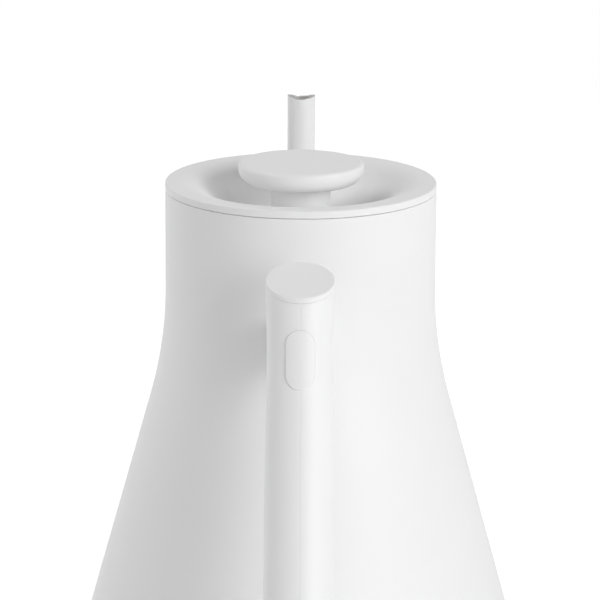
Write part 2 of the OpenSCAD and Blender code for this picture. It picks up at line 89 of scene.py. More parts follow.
MOUTH_R = cad("neck_ring", 1, 0) - 6.2
MOUTH_H = 15.0
BASE_SHEET = 0.8
BASE_R = cad("base_cap", 1, 0)

LID_Z = SEAM_Z + 0.15
LID_TOP = cad("lid_shell", 1, 2)
BOWL_Z = LID_TOP - 11.0
RIM_W = 4.6
SHOULDER_R = 14.0
HOLLOW_R = 20.0
SLOPE = math.radians(34)
LID_T = 1.0
LID_FLANGE = 1.2
BOWL_FLAT_R = 12.0
SKIRT_Z = cad("lid_liner", 0, 2)
SKIRT_R = 37.4
GASKET_Z = cad("lid_gasket", 0, 2)
GASKET_H = 4.5
BEAD_PROUD = 0.6
BEAD_H = 0.8
LIP_H = 0.8
LIP_DEPTH = 0.55

KNOB_TOP = cad("knob_cap", 1, 2)
KNOB_R = cad("knob_cap", 1, 0)
KNOB_T = 6.9
STEM_R = cad("knob_stem", 1, 0)
STEM_BORE = 4.8
THREAD_R = 7.6
WHISTLE_R = 6.0
WHISTLE_H = 5.65
SLOT_W = 1.8
SLOT_H = 5.0
SLOT_LONG = 10.0
SLOT_OUT = 7.5
SLOT_UP = 4.5
SLOT_TURN = 40

SPOUT_R = cad("spout_tube", 1, 0)
SPOUT_WALL = 0.75
REACH = cad("spout_tube", 1, 1) - SPOUT_R
TIP_Z = SEAM_Z + 10.4
TIP_CUT = 11.3
TIP_SHIFT = 0.65
ROOT_A = math.radians(22)
LEAN_A = math.radians(78)
ROOT_Z = 34.0
ROOT_SINK = 2.0
TUBE_IN = 3.0
STUB = 10.0
BEND_LOW = 42.0
BEND_HIGH = 90.0
COLLAR_IN = 6.0
COLLAR_WALL = 0.6
COLLAR_GROWTH = 4.2
COLLAR_POWER = 1.5
COLLAR_GAP = 0.03

GRIP_LEAN = math.radians(22)
GRIP_Y = 82.1
GRIP_ABOVE = 26.2
GRIP_L = 128.0
GRIP_R = 11.15
GRIP_WAIST = 0.55
WAIST_S = 25
WAIST_UP = 24.0
WAIST_DOWN = 33.0
GRIP_GAIN = 0.25
GAIN_S = 57
GAIN_L = 70
GRIP_BORE = 8.2
GRIP_END_EDGE = 0.22
GRIP_END_GAP = 0.03
TOP_TILT = math.radians(12)
CAP_T = 1.5
END_H = 8.0
END_R = 3.0
SCREW_SINK_R = 3.1
SCREW_SINK_H = 4
SCREW_R = 1.7

ARM_Z = SEAM_Z - 38.0
ARM_R = 8.0
TUBE_R = 6.05
ARM_PAD = 0.55
ARM_GAP = 0.06
BUTTON_W = 9.4
BUTTON_H = 18.0
BUTTON_PROUD = 0.35
BUTTON_GAP = 0.04
BUTTON_Z = ARM_Z + 3.0
BUTTON_DEPTH = 3.6
COILS = 6
COIL_R = 2.6
WIRE_R = 0.4


# ---- Meshes ----

def surface(name, grid, wrap_rows=True, wrap_cols=True):
    """Mesh of a grid of points in millimetres: neighbours in the grid share a face, points that
    coincide are welded, and faces that lose their area are left out."""
    rows, cols = grid.shape[:2]
    flat = grid.reshape(-1, 3)
    snapped = np.round(flat * WELDS_PER_MM).astype(np.int64)
    _, first, back = np.unique(snapped, axis=0, return_index=True, return_inverse=True)
    idx = back.reshape(rows, cols)
    here = idx if wrap_rows else idx[:-1]
    below = np.roll(idx, -1, axis=0)[:len(here)]
    quads = np.stack([here, np.roll(here, -1, axis=1), np.roll(below, -1, axis=1), below], -1)
    quads = (quads if wrap_cols else quads[:, :-1]).reshape(-1, 4)
    same = quads == np.roll(quads, -1, axis=1)
    faces = quads[~same.any(axis=1)].tolist()
    faces += [list(dict.fromkeys(q)) for q in quads[same.sum(axis=1) == 1].tolist()]
    mesh = bpy.data.meshes.new(name)
    mesh.from_pydata((flat[first] * MM).tolist(), [], faces)
    work = bmesh.new()
    work.from_mesh(mesh)
    bmesh.ops.recalc_face_normals(work, faces=work.faces)
    work.to_mesh(mesh)
    work.free()
    piece = bpy.data.objects.new(name, mesh)
    bpy.context.scene.collection.objects.link(piece)
    return piece


def arc(x, y, radius, start, end, count=24):
    """Points on a circle about (x, y), at evenly spaced angles in degrees from start to end."""
    a = np.radians(np.linspace(start, end, count))
    return np.stack([x + radius * np.cos(a), y + radius * np.sin(a)], -1)


def rounded(corners, steps=5):
    """Closed outline through corners (x, y, r). Each corner becomes an arc of radius r that is
    tangent to both its sides. A guard point stands just outside each end of the arc, half a
    radius off or less where the side's straight part is short."""
    points = np.array([corner[:2] for corner in corners], float)
    radii = np.array([corner[2] for corner in corners], float)
    back, ahead = np.roll(points, 1, axis=0) - points, np.roll(points, -1, axis=0) - points
    back_len, ahead_len = np.hypot(*back.T), np.hypot(*ahead.T)
    back, ahead = back / back_len[:, None], ahead / ahead_len[:, None]
    half = np.arccos(np.clip((back * ahead).sum(axis=1), -1, 1)) / 2
    reach = radii / np.tan(half)
    back_room = np.maximum(back_len - reach - np.roll(reach, 1), 0)
    ahead_room = np.maximum(ahead_len - reach - np.roll(reach, -1), 0)
    out = []
    for i, (p, r) in enumerate(zip(points, radii)):
        if r <= 0:
            out.append(p[None])
            continue
        middle = back[i] + ahead[i]
        centre = p + middle / np.hypot(*middle) * r / math.sin(half[i])
        s, e = p + back[i] * reach[i] - centre, p + ahead[i] * reach[i] - centre
        turn = np.linspace(0, 1, steps + 1)[:, None] * math.atan2(s[0] * e[1] - s[1] * e[0], s @ e)
        bow = centre + np.cos(turn) * s + np.sin(turn) * np.array([-s[1], s[0]])
        before = p + back[i] * (reach[i] + min(0.5 * r, 0.4 * back_room[i]))
        after = p + ahead[i] * (reach[i] + min(0.5 * r, 0.4 * ahead_room[i]))
        out.append(np.vstack([before, bow, after]))
    return np.vstack(out)


def revolve(name, outline, segments=256, place=None, wrap=True):
    """Turns an outline of (radius, height) about the Z axis, then moves its points with place."""
    a = np.linspace(0, 2 * np.pi, segments, endpoint=False)
    r, z = outline[:, 0:1], outline[:, 1:2]
    grid = np.stack([r * np.cos(a), r * np.sin(a), np.repeat(z, segments, axis=1)], -1)
    return surface(name, place(grid) if place else grid, wrap_rows=wrap)


def cut(piece, cutter):
    """Takes the cutter's shape out of the piece and removes the cutter."""
    tool = piece.modifiers.new("cut", "BOOLEAN")
    tool.object = cutter
    tool.operation = "DIFFERENCE"
    tool.solver = "EXACT"
    graph = bpy.context.evaluated_depsgraph_get()
    mesh = bpy.data.meshes.new_from_object(piece.evaluated_get(graph))
    piece.modifiers.clear()
    piece.data = mesh
    bpy.data.objects.remove(cutter)


def finish_piece(piece, body, materials, stands_for=(), sharp=35):
    """Smooth shading with sharp edges past an angle, the materials, and the CAD body it rides on.
    A piece that bends between two bodies is given no body here."""
    mesh = piece.data
    mesh.shade_smooth()
    mesh.set_sharp_from_angle(angle=math.radians(sharp))
    mesh.materials.clear()
    for material in materials:
        mesh.materials.append(material)
    if body:
        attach(piece, body)
    if stands_for:
        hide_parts(*stands_for)
    return piece


def paint_faces(piece, choose):
    """Gives each face the material whose number choose returns for the face centres, in millimetres."""
    mesh = piece.data
    centres = np.empty(len(mesh.polygons) * 3, np.float32)
    mesh.polygons.foreach_get("center", centres)
    chosen = choose(centres.reshape(-1, 3) / MM)
    mesh.polygons.foreach_set("material_index", chosen.astype(np.int32))
    mesh.update()


# ---- Materials ----

BUMP_DEPTH = 0.0001
DARK_AT = 0.3
LIGHT_AT = 0.7


def group(name, inputs, outputs):
    """Empty shader node group with float inputs {name: value} and outputs {name: socket type}."""
    tree = bpy.data.node_groups.new(name, "ShaderNodeTree")
    for label, value in inputs.items():
        socket = tree.interface.new_socket(label, in_out="INPUT", socket_type="NodeSocketFloat")
        socket.default_value = value
    for label, kind in outputs.items():
        tree.interface.new_socket(label, in_out="OUTPUT", socket_type=kind)
    return tree, tree.nodes.new("NodeGroupInput"), tree.nodes.new("NodeGroupOutput")


def add(tree, kind, settings=None, **inputs):
    """Adds a node, sets its properties and its inputs, and links an input given as a socket. An
    input is named by its label, with _ for a space, or by its number, as in i0."""
    node = tree.nodes.new(kind)
    for key, value in (settings or {}).items():
        setattr(node, key, value)
    for key, value in inputs.items():
        by_number = key[0] == "i" and key[1:].isdigit()
        socket = node.inputs[int(key[1:]) if by_number else key.replace("_", " ")]
        if isinstance(value, bpy.types.NodeSocket):
            tree.links.new(value, socket)
        else:
            socket.default_value = value
    return node


def make_fine_skin():
    """Skin of a powder coat or a spark-eroded moulding: a fine and a coarse noise make the height
    of a bump, and a broad noise gives a faint change of tone and gloss."""
    tree, given, out = group(
        "fine_skin",
        {"Fine Scale": 900.0, "Coarse Scale": 160.0, "Height": 0.05, "Broad Scale": 14.0},
        {"Normal": "NodeSocketVector", "Tone": "NodeSocketFloat"})
    place = add(tree, "ShaderNodeTexCoord").outputs["Object"]
    fine = add(tree, "ShaderNodeTexNoise", Vector=place, Scale=given.outputs["Fine Scale"],
               Detail=3.0, Roughness=0.6)
    coarse = add(tree, "ShaderNodeTexNoise", Vector=place, Scale=given.outputs["Coarse Scale"],
                 Detail=2.0)
    broad = add(tree, "ShaderNodeTexNoise", Vector=place, Scale=given.outputs["Broad Scale"],
                Detail=2.0, Roughness=0.45)
    height = add(tree, "ShaderNodeMath", {"operation": "ADD"}, i0=fine.outputs[0], i1=coarse.outputs[0])
    bump = add(tree, "ShaderNodeBump", Strength=given.outputs["Height"], Distance=BUMP_DEPTH,
               Height=height.outputs[0])
    tree.links.new(bump.outputs[0], out.inputs["Normal"])
    tree.links.new(broad.outputs[0], out.inputs["Tone"])
    return tree


def make_brushing():
    """Brushed metal: noise stretched round the Z axis, as rings of fine scratches, with a broad
    change of gloss. The scratches follow height and distance from the axis, and barely the angle."""
    tree, given, out = group(
        "brushing",
        {"Scale": 2600.0, "Height": 0.08},
        {"Normal": "NodeSocketVector", "Scratch": "NodeSocketFloat"})
    place = add(tree, "ShaderNodeTexCoord").outputs["Object"]
    parts = add(tree, "ShaderNodeSeparateXYZ", Vector=place)
    x2 = add(tree, "ShaderNodeMath", {"operation": "POWER"}, i0=parts.outputs[0], i1=2.0)
    y2 = add(tree, "ShaderNodeMath", {"operation": "POWER"}, i0=parts.outputs[1], i1=2.0)
    both = add(tree, "ShaderNodeMath", {"operation": "ADD"}, i0=x2.outputs[0], i1=y2.outputs[0])
    radius = add(tree, "ShaderNodeMath", {"operation": "SQRT"}, i0=both.outputs[0])
    angle = add(tree, "ShaderNodeMath", {"operation": "ARCTAN2"}, i0=parts.outputs[1], i1=parts.outputs[0])
    slow = add(tree, "ShaderNodeMath", {"operation": "MULTIPLY"}, i0=angle.outputs[0], i1=0.003)
    ring = add(tree, "ShaderNodeCombineXYZ", X=radius.outputs[0], Y=slow.outputs[0], Z=parts.outputs[2])
    scratch = add(tree, "ShaderNodeTexNoise", Vector=ring.outputs[0], Scale=given.outputs["Scale"],
                  Detail=4.0, Roughness=0.7)
    bump = add(tree, "ShaderNodeBump", Strength=given.outputs["Height"], Distance=BUMP_DEPTH,
               Height=scratch.outputs[0])
    tree.links.new(bump.outputs[0], out.inputs["Normal"])
    tree.links.new(scratch.outputs[0], out.inputs["Scratch"])
    return tree


FINE_SKIN = make_fine_skin()
BRUSHING = make_brushing()


def material(name, texture, values, dark, light, rough, **constants):
    """Principled material whose colour runs from dark to light and whose roughness runs over the
    range rough, both with the texture group's second output. Constants go on the shader's sockets."""
    made = bpy.data.materials.new(name)
    made.use_nodes = True
    tree = made.node_tree
    shader = tree.nodes["Principled BSDF"]
    skin = add(tree, "ShaderNodeGroup", {"node_tree": texture}, **values)
    tone = add(tree, "ShaderNodeValToRGB", Fac=skin.outputs[1])
    low, high = tone.color_ramp.elements
    low.position = DARK_AT
    high.position = LIGHT_AT
    low.color = (*dark, 1)
    high.color = (*light, 1)
    gloss = add(tree, "ShaderNodeMapRange", Value=skin.outputs[1], From_Min=DARK_AT, From_Max=LIGHT_AT,
                To_Min=rough[0], To_Max=rough[1])
    tree.links.new(tone.outputs[0], shader.inputs["Base Color"])
    tree.links.new(gloss.outputs[0], shader.inputs["Roughness"])
    tree.links.new(skin.outputs[0], shader.inputs["Normal"])
    for key, value in constants.items():
        shader.inputs[key.replace("_", " ")].default_value = value
    return made


def grey(value, warm=0.0):
    """Grey of a linear value, with warm as the share added to red and taken from blue."""
    return (value * (1 + warm), value, value * (1 - warm))


COAT = material(
    "white_coat", FINE_SKIN, {"Height": 0.10, "Fine_Scale": 1500.0, "Coarse_Scale": 420.0},
    grey(0.845), grey(0.865), (0.50, 0.58))
PLASTIC = material(
    "white_plastic", FINE_SKIN, {"Height": 0.08, "Fine_Scale": 2200.0, "Coarse_Scale": 700.0},
    grey(0.845), grey(0.865), (0.46, 0.54))
STEEL = material(
    "brushed_steel", BRUSHING, {}, grey(0.50, 0.01), grey(0.62, 0.01), (0.24, 0.36), Metallic=1.0)
TUBE_STEEL = material(
    "tube_steel", BRUSHING, {"Height": 0.04},
    grey(0.56, 0.01), grey(0.64, 0.01), (0.50, 0.60), Metallic=1.0)
CUT_STEEL = material(
    "cut_steel", BRUSHING, {"Height": 0.04},
    grey(0.32, 0.01), grey(0.38, 0.01), (0.40, 0.50), Metallic=1.0)
ALUMINIUM = material(
    "cast_aluminium", FINE_SKIN, {"Height": 0.2, "Fine_Scale": 1200.0},
    grey(0.66), grey(0.72), (0.42, 0.5), Metallic=1.0)
SILICONE = material(
    "soft_silicone", FINE_SKIN, {"Height": 0.06}, grey(0.58), grey(0.64), (0.62, 0.7))
BUSH = material(
    "white_nylon", FINE_SKIN, {"Height": 0.05}, (0.82, 0.81, 0.77), (0.85, 0.84, 0.8), (0.38, 0.46))


# ---- Body ----

def body_radius(z, inset=0.0):
    """Radius of the body at height z, set in by inset: neck, then an arc, then a cone."""
    z = np.asarray(z, float)
    flare = FLARE_X - np.sqrt(np.maximum((FLARE_R + inset) ** 2 - np.minimum(FLARE_Z - z, FLARE_R) ** 2, 0))
    cone = CONE_X + (CONE_Z - z) * math.tan(CONE) - inset / math.cos(CONE)
    return np.where(z > FLARE_Z, NECK_R - inset, np.where(z > CONE_Z - inset * math.sin(CONE), flare, cone))


def wall_line(inset):
    """Side of the body from foot to rim, set in by inset: foot arc, cone, flare arc and neck."""
    lean = math.degrees(CONE)
    foot = arc(FOOT_X, FOOT_Z, FOOT_R - inset, -90, lean, 14)
    flare = arc(FLARE_X, FLARE_Z, FLARE_R + inset, 180 + lean, 180, 40)
    steps = np.linspace(0, 1, 30)[1:-1, None]
    cone = foot[-1] * (1 - steps) + flare[0] * steps
    neck = np.array([[NECK_R - inset, z] for z in (FLARE_Z + 8, FLARE_Z + 18, SEAM_Z - 4)])
    return np.vstack([foot, cone, flare, neck])


def make_body():
    """Wall of the body: the outer side up, a rounded rim, and the inner side down to the lip. The
    steel ring in its mouth and the disc under it are revolved sheets with rounded edges."""
    rim = rounded([
        (NECK_R, SEAM_Z - 3, 0), (NECK_R, SEAM_Z, 0.25),
        (NECK_R - WALL, SEAM_Z, 0.15), (NECK_R - WALL, SEAM_Z - 3, 0)])
    lip = rounded([
        (LIP_R + 2, LIP_Z + WALL, 0), (LIP_R, LIP_Z + WALL, 0.2),
        (LIP_R, LIP_Z, 0.2), (LIP_R + 2, LIP_Z, 0)])
    outline = np.vstack([wall_line(0), rim, wall_line(WALL)[::-1], lip])
    wall = revolve("body_wall", outline)
    finish_piece(wall, "kettle", [COAT, STEEL], ["body_shell"])
    inner_side = WALL * 0.6
    paint_faces(wall, lambda c: np.hypot(c[:, 0], c[:, 1]) < body_radius(c[:, 2]) - inner_side)
    ring_r = NECK_R - WALL - FIT
    ring = revolve("mouth_ring", rounded([
        (MOUTH_R, SEAM_Z, 0.6), (MOUTH_R, SEAM_Z - MOUTH_H, 0.3),
        (MOUTH_R + LINING_T, SEAM_Z - MOUTH_H, 0.3), (MOUTH_R + LINING_T, SEAM_Z - LINING_T, 0.3),
        (ring_r, SEAM_Z - LINING_T, 0.1), (ring_r, SEAM_Z, 0.1)]))
    finish_piece(ring, "kettle", [STEEL], ["neck_ring"])
    base = revolve("base_disc", rounded([
        (0, 0, 0), (BASE_R, 0, 0.8), (BASE_R, LIP_Z, 0.15), (BASE_R - BASE_SHEET, LIP_Z, 0.15),
        (BASE_R - BASE_SHEET, BASE_SHEET, 0.3), (0, BASE_SHEET, 0)]))
    finish_piece(base, "kettle", [STEEL], ["base_cap"])


# ---- Lid ----

def lid_line(inset):
    """Upper side of the lid from the rim band to the bowl's floor, set in by inset: flat band,
    shoulder arc, straight slope and hollow arc, each tangent to the next."""
    shoulder_x = NECK_R - RIM_W
    top_x = shoulder_x - SHOULDER_R * math.sin(SLOPE)
    top_z = LID_TOP - SHOULDER_R * (1 - math.cos(SLOPE))
    foot_z = BOWL_Z + HOLLOW_R * (1 - math.cos(SLOPE))
    hollow_x = top_x - (top_z - foot_z) / math.tan(SLOPE) - HOLLOW_R * math.sin(SLOPE)
    lean = math.degrees(SLOPE)
    shoulder = arc(shoulder_x, LID_TOP - SHOULDER_R, SHOULDER_R - inset, 90, 90 + lean, 20)
    hollow = arc(hollow_x, BOWL_Z + HOLLOW_R, HOLLOW_R + inset, -90 + lean, -90, 24)
    return np.vstack([shoulder, hollow, [[BOWL_FLAT_R, BOWL_Z - inset]]])


def make_lid():
    """Dish of the lid, its steel lining and its sealing ring, each a revolved outline."""
    hole = THREAD_R + FIT
    under = LID_TOP - LID_T
    inner = NECK_R - LID_FLANGE
    edge = rounded([
        (NECK_R - 3, under, 0), (inner, under, 0.3), (inner, LID_Z, 0.2),
        (NECK_R, LID_Z, 0.25), (NECK_R, LID_TOP, 0.5), (NECK_R - 3, LID_TOP, 0)])
    centre = rounded([
        (11, BOWL_Z, 0), (hole, BOWL_Z, 0.2), (hole, BOWL_Z - LID_T, 0.2), (11, BOWL_Z - LID_T, 0)])
    dish = revolve("lid_dish", np.vstack([edge, lid_line(0), centre, lid_line(LID_T)[::-1]]))
    finish_piece(dish, "lid", [COAT], ["lid_shell"])
    bead = SKIRT_R + BEAD_PROUD
    low, high = GASKET_Z - FIT, GASKET_Z + GASKET_H + FIT
    skirt_top = cad("lid_liner", 1, 2) - 0.3
    skirt_in = SKIRT_R - LINING_T
    lining = revolve("lid_lining", rounded([
        (hole, SKIRT_Z, 0.2), (SKIRT_R, SKIRT_Z, 0.5), (SKIRT_R, low - BEAD_H, 0.1),
        (bead, low - BEAD_H, 0.25), (bead, low, 0.1), (SKIRT_R, low, 0.05),
        (SKIRT_R, high, 0.05), (bead, high, 0.1), (bead, high + BEAD_H, 0.25),
        (SKIRT_R, high + BEAD_H, 0.1), (SKIRT_R, skirt_top, 0.1), (skirt_in, skirt_top, 0.1),
        (skirt_in, SKIRT_Z + LINING_T, 0.4), (hole, SKIRT_Z + LINING_T, 0.2)]))
    finish_piece(lining, "lid", [STEEL], ["lid_liner"])
    lip = cad("lid_gasket", 1, 0)
    top = GASKET_Z + GASKET_H
    ring = revolve("lid_seal_ring", rounded([
        (SKIRT_R + FIT, GASKET_Z, 0.1), (lip - 0.2, GASKET_Z, 0.25), (lip, GASKET_Z + LIP_H, 0.3),
        (lip - LIP_DEPTH, GASKET_Z + GASKET_H / 2, 0.5), (lip, top - LIP_H, 0.3),
        (lip - 0.2, top, 0.25), (SKIRT_R + FIT, top, 0.1)]))
    finish_piece(ring, "lid", [SILICONE], ["lid_gasket"])


def make_knob():
    """Mushroom knob and its stem, both revolved. Three upright bars are cut out of the stem on
    the side away from the handle, as its slots."""
    low = KNOB_TOP - KNOB_T
    spigot = cad("knob_cap", 0, 2)
    spigot_r = STEM_BORE - FIT
    knob = revolve("knob", rounded([
        (0, KNOB_TOP, 0), (KNOB_R, KNOB_TOP, 1.3), (KNOB_R, low, 4.95),
        (spigot_r, low, 0.1), (spigot_r, spigot, 0.3), (0, spigot, 0)], steps=16))
    finish_piece(knob, "lid", [PLASTIC], ["knob_cap"])
    end = cad("knob_stem", 0, 2)
    whistle_top = end + WHISTLE_H
    stem = revolve("knob_neck", rounded([
        (STEM_BORE, low - FIT, 0.2), (STEM_R, low - FIT, 0.3), (STEM_R, BOWL_Z + FIT, 0.3),
        (THREAD_R, BOWL_Z + FIT, 0.1), (THREAD_R, end, 0.4), (WHISTLE_R, end, 0.2),
        (WHISTLE_R, whistle_top, 0.05), (STEM_BORE, whistle_top, 0.05)]))
    for turn in (-SLOT_TURN, 0, SLOT_TURN):
        bpy.ops.mesh.primitive_cube_add(size=1)
        slot = bpy.context.object
        size = Matrix.Diagonal((SLOT_W * MM, SLOT_LONG * MM, SLOT_H * MM, 1))
        spot = Matrix.Translation((0, SLOT_OUT * MM, (BOWL_Z + SLOT_UP) * MM))
        slot.data.transform(Matrix.Rotation(math.radians(turn), 4, "Z") @ spot @ size)
        cut(stem, slot)
    finish_piece(stem, "lid", [PLASTIC], ["knob_stem"])


# ---- Spout ----

def spout_path():
    """Centre line of the spout as (y, z, slope): a stub, a low bend, a straight, a high bend and
    a straight tip, each tangent to the next."""
    root_y = float(body_radius(ROOT_Z)) - ROOT_SINK
    stub_y, stub_z = root_y + STUB * math.cos(ROOT_A), ROOT_Z + STUB * math.sin(ROOT_A)
    low = np.linspace(ROOT_A, LEAN_A, 40)
    low_y = stub_y + BEND_LOW * (np.sin(low) - math.sin(ROOT_A))
    low_z = stub_z + BEND_LOW * (math.cos(ROOT_A) - np.cos(low))
    high = np.linspace(LEAN_A, np.pi / 2, 20)
    high_y = REACH - BEND_HIGH * (1 - np.sin(high))
    lean = (high_y[0] - low_y[-1]) / math.cos(LEAN_A)
    high_z = low_z[-1] + lean * math.sin(LEAN_A) + BEND_HIGH * (math.cos(LEAN_A) - np.cos(high))
    start = [[root_y - TUBE_IN * math.cos(ROOT_A), ROOT_Z - TUBE_IN * math.sin(ROOT_A), ROOT_A]]
    low_bend = np.stack([low_y, low_z, low], -1)
    high_bend = np.stack([high_y, high_z, high], -1)
    return np.vstack([start, low_bend, high_bend])


def make_spout():
    """Bent tube: circles of the outer radius carried up the path, over a rounded saddle-shaped
    rim, and circles of the bore carried back down. The bore and the cut rim carry no coat."""
    path = spout_path()
    a = np.linspace(0, 2 * np.pi, 96, endpoint=False)

    def rings(radius):
        """Circles square to the path, one for each of its points."""
        y, z, slope = (path[:, k:k + 1] for k in range(3))
        lift = radius * np.sin(a)
        return np.stack([radius * np.cos(a) + 0 * y, y - lift * np.sin(slope), z + lift * np.cos(slope)], -1)

    def rim(radius, depth):
        """Circle seen from above that lies a depth below a cylinder along X."""
        y = REACH - radius * np.sin(a)
        z = TIP_Z - TIP_CUT + np.sqrt(TIP_CUT ** 2 - (y - REACH + TIP_SHIFT) ** 2) - depth
        return np.stack([radius * np.cos(a), y, z], -1)[None]

    bore = SPOUT_R - SPOUT_WALL
    soft, mid, straight = 0.2, 0.06, 6
    edge = [(SPOUT_R, straight), (SPOUT_R, 2 * soft), (SPOUT_R, soft), (SPOUT_R - mid, mid),
            (SPOUT_R - soft, 0.0), (bore + soft, 0.0), (bore + mid, mid), (bore, soft),
            (bore, 2 * soft), (bore, straight)]
    grid = np.vstack([rings(SPOUT_R)] + [rim(*e) for e in edge] + [rings(bore)[::-1]])
    tube = surface("spout", grid)
    finish_piece(tube, "kettle", [COAT, TUBE_STEEL, CUT_STEEL], ["spout_tube"])
    # Rows of faces run up the outside, across the cut edge and down the bore.
    outer, cut_edge = len(path) + 2, 5
    row = np.arange(len(tube.data.polygons)) // len(a)
    paint_faces(tube, lambda c: np.where(row < outer, 0, np.where(row < outer + cut_edge, 2, 1)))


def make_collar():
    """Flare at the spout's root: circles about the stub's line whose radius grows towards the
    body as a power of the distance, ending on the body's surface."""
    root = np.array([0, float(body_radius(ROOT_Z)) - ROOT_SINK, ROOT_Z])
    along = np.array([0, math.cos(ROOT_A), math.sin(ROOT_A)])
    up = np.array([0, -math.sin(ROOT_A), math.cos(ROOT_A)])
    a = np.linspace(0, 2 * np.pi, 128, endpoint=False)
    top = np.full(a.shape, STUB)

    def flare(h):
        """Radius at distance h along the stub."""
        near = np.maximum(STUB - h, 0) / (STUB + COLLAR_IN)
        return SPOUT_R + COLLAR_WALL + COLLAR_GROWTH * near ** COLLAR_POWER

    def ring(h, radius):
        """Points at distance h along the stub and at the radius from its line."""
        return (root + along * h[:, None] + np.array([1.0, 0, 0]) * (radius * np.cos(a))[:, None]
                + up * (radius * np.sin(a))[:, None])

    def on_body(radius):
        """Distance at which each line of the surface meets the body, found by halving."""
        low, high = np.full(a.shape, -COLLAR_IN), top.copy()
        for _ in range(HALVINGS):
            mid = (low + high) / 2
            p = ring(mid, radius(mid))
            inside = np.hypot(p[:, 0], p[:, 1]) < body_radius(p[:, 2]) + COLLAR_GAP
            low, high = np.where(inside, mid, low), np.where(inside, high, mid)
        return high

    inner = np.full(a.shape, SPOUT_R + FIT)
    foot = on_body(flare)
    length = STUB - 0.25 - foot
    rows = [ring(foot + length * t, flare(foot + length * t)) for t in np.linspace(0, 1, 24)]
    rows += [ring(top - 0.07, inner + 0.5), ring(top, inner + 0.35), ring(top, inner)]
    rows.append(ring(on_body(lambda h: inner), inner))
    collar = surface("spout_flare", np.array(rows))
    finish_piece(collar, "kettle", [COAT], ["spout_collar"])


# ---- Handle ----

UP = np.array([0, math.sin(GRIP_LEAN), math.cos(GRIP_LEAN)])
OUT = np.array([0, -math.cos(GRIP_LEAN), math.sin(GRIP_LEAN)])
TOP = np.array([0, -GRIP_Y, ARM_Z]) + GRIP_ABOVE * UP


def grip_radius(s):
    """Radius of the grip at distance s down its axis: a cosine-squared waist and a slow gain."""
    off = s - WAIST_S
    reach = np.where(s < WAIST_S, WAIST_UP, WAIST_DOWN)
    waist = np.where(np.abs(off) < reach, np.cos(np.pi / 2 * off / reach) ** 2, 0)
    return GRIP_R - GRIP_WAIST * waist + GRIP_GAIN * np.maximum(0, s - GAIN_S) / GAIN_L


def on_grip(x, out, s):
    """Point at distance s down the grip's axis, x to the side and out from the kettle."""
    return TOP + x[..., None] * np.array([1.0, 0, 0]) + out[..., None] * OUT - s[..., None] * UP


def below_top(depth, inset, a):
    """Points on the grip's side, set in by inset, on the plane that lies depth below the tilted
    top face, found by repeating the plane's equation with the radius at the last distance."""
    tilt = GRIP_LEAN + TOP_TILT
    s = depth + 0 * a
    for _ in range(SOLVE_STEPS):
        r = grip_radius(s) - inset
        s = (depth + r * np.cos(a) * math.sin(tilt)) / math.cos(tilt)
    return grip_radius(s) - inset, s


def grip_face(x, z, grow, side=-1):
    """Y of the grip's surface, grown by grow, over the point (x, z): the side of a leaning round
    bar, with its radius taken again at each better distance. Side -1 is the outer side."""
    dz = z - ARM_Z
    s = GRIP_ABOVE - dz / math.cos(GRIP_LEAN)
    for _ in range(SOLVE_STEPS):
        r = grip_radius(s) + grow
        out = -side * np.sqrt(np.maximum(r ** 2 - x ** 2, 0))
        dy = (dz * math.sin(GRIP_LEAN) - out) / math.cos(GRIP_LEAN)
        s = GRIP_ABOVE - (dy * math.sin(GRIP_LEAN) + dz * math.cos(GRIP_LEAN))
    return -GRIP_Y + dy


def stadium(inset, count=160):
    """Outline of a pill set in by inset, at even steps of angle round its two half circles and
    at even steps along its two straight sides."""
    r = BUTTON_W / 2 - inset
    half = (BUTTON_H - BUTTON_W) / 2
    quarter = count // 4
    bow = np.linspace(0, np.pi, quarter + 1)
    line = np.linspace(half, -half, quarter + 1)[1:-1]
    top = np.stack([r * np.cos(bow), half + r * np.sin(bow)], -1)
    left = np.stack([np.full(line.shape, -r), line], -1)
    return np.vstack([top, left, -top, -left])


def pill_cutter():
    """Closed bar with a pill-shaped section, from the grip's middle outwards."""
    edge = stadium(-BUTTON_GAP)
    mid = edge * np.array([0.0, (BUTTON_H - BUTTON_W) / (BUTTON_H + 2 * BUTTON_GAP)])
    near, far = -GRIP_Y, -GRIP_Y - 30
    rows = [np.stack([p[:, 0], np.full(len(p), y), p[:, 1] + BUTTON_Z], -1)
            for p, y in ((mid, near), (edge, near), (edge, far), (mid, far))]
    return surface("pill_cutter", np.array(rows), wrap_rows=False)


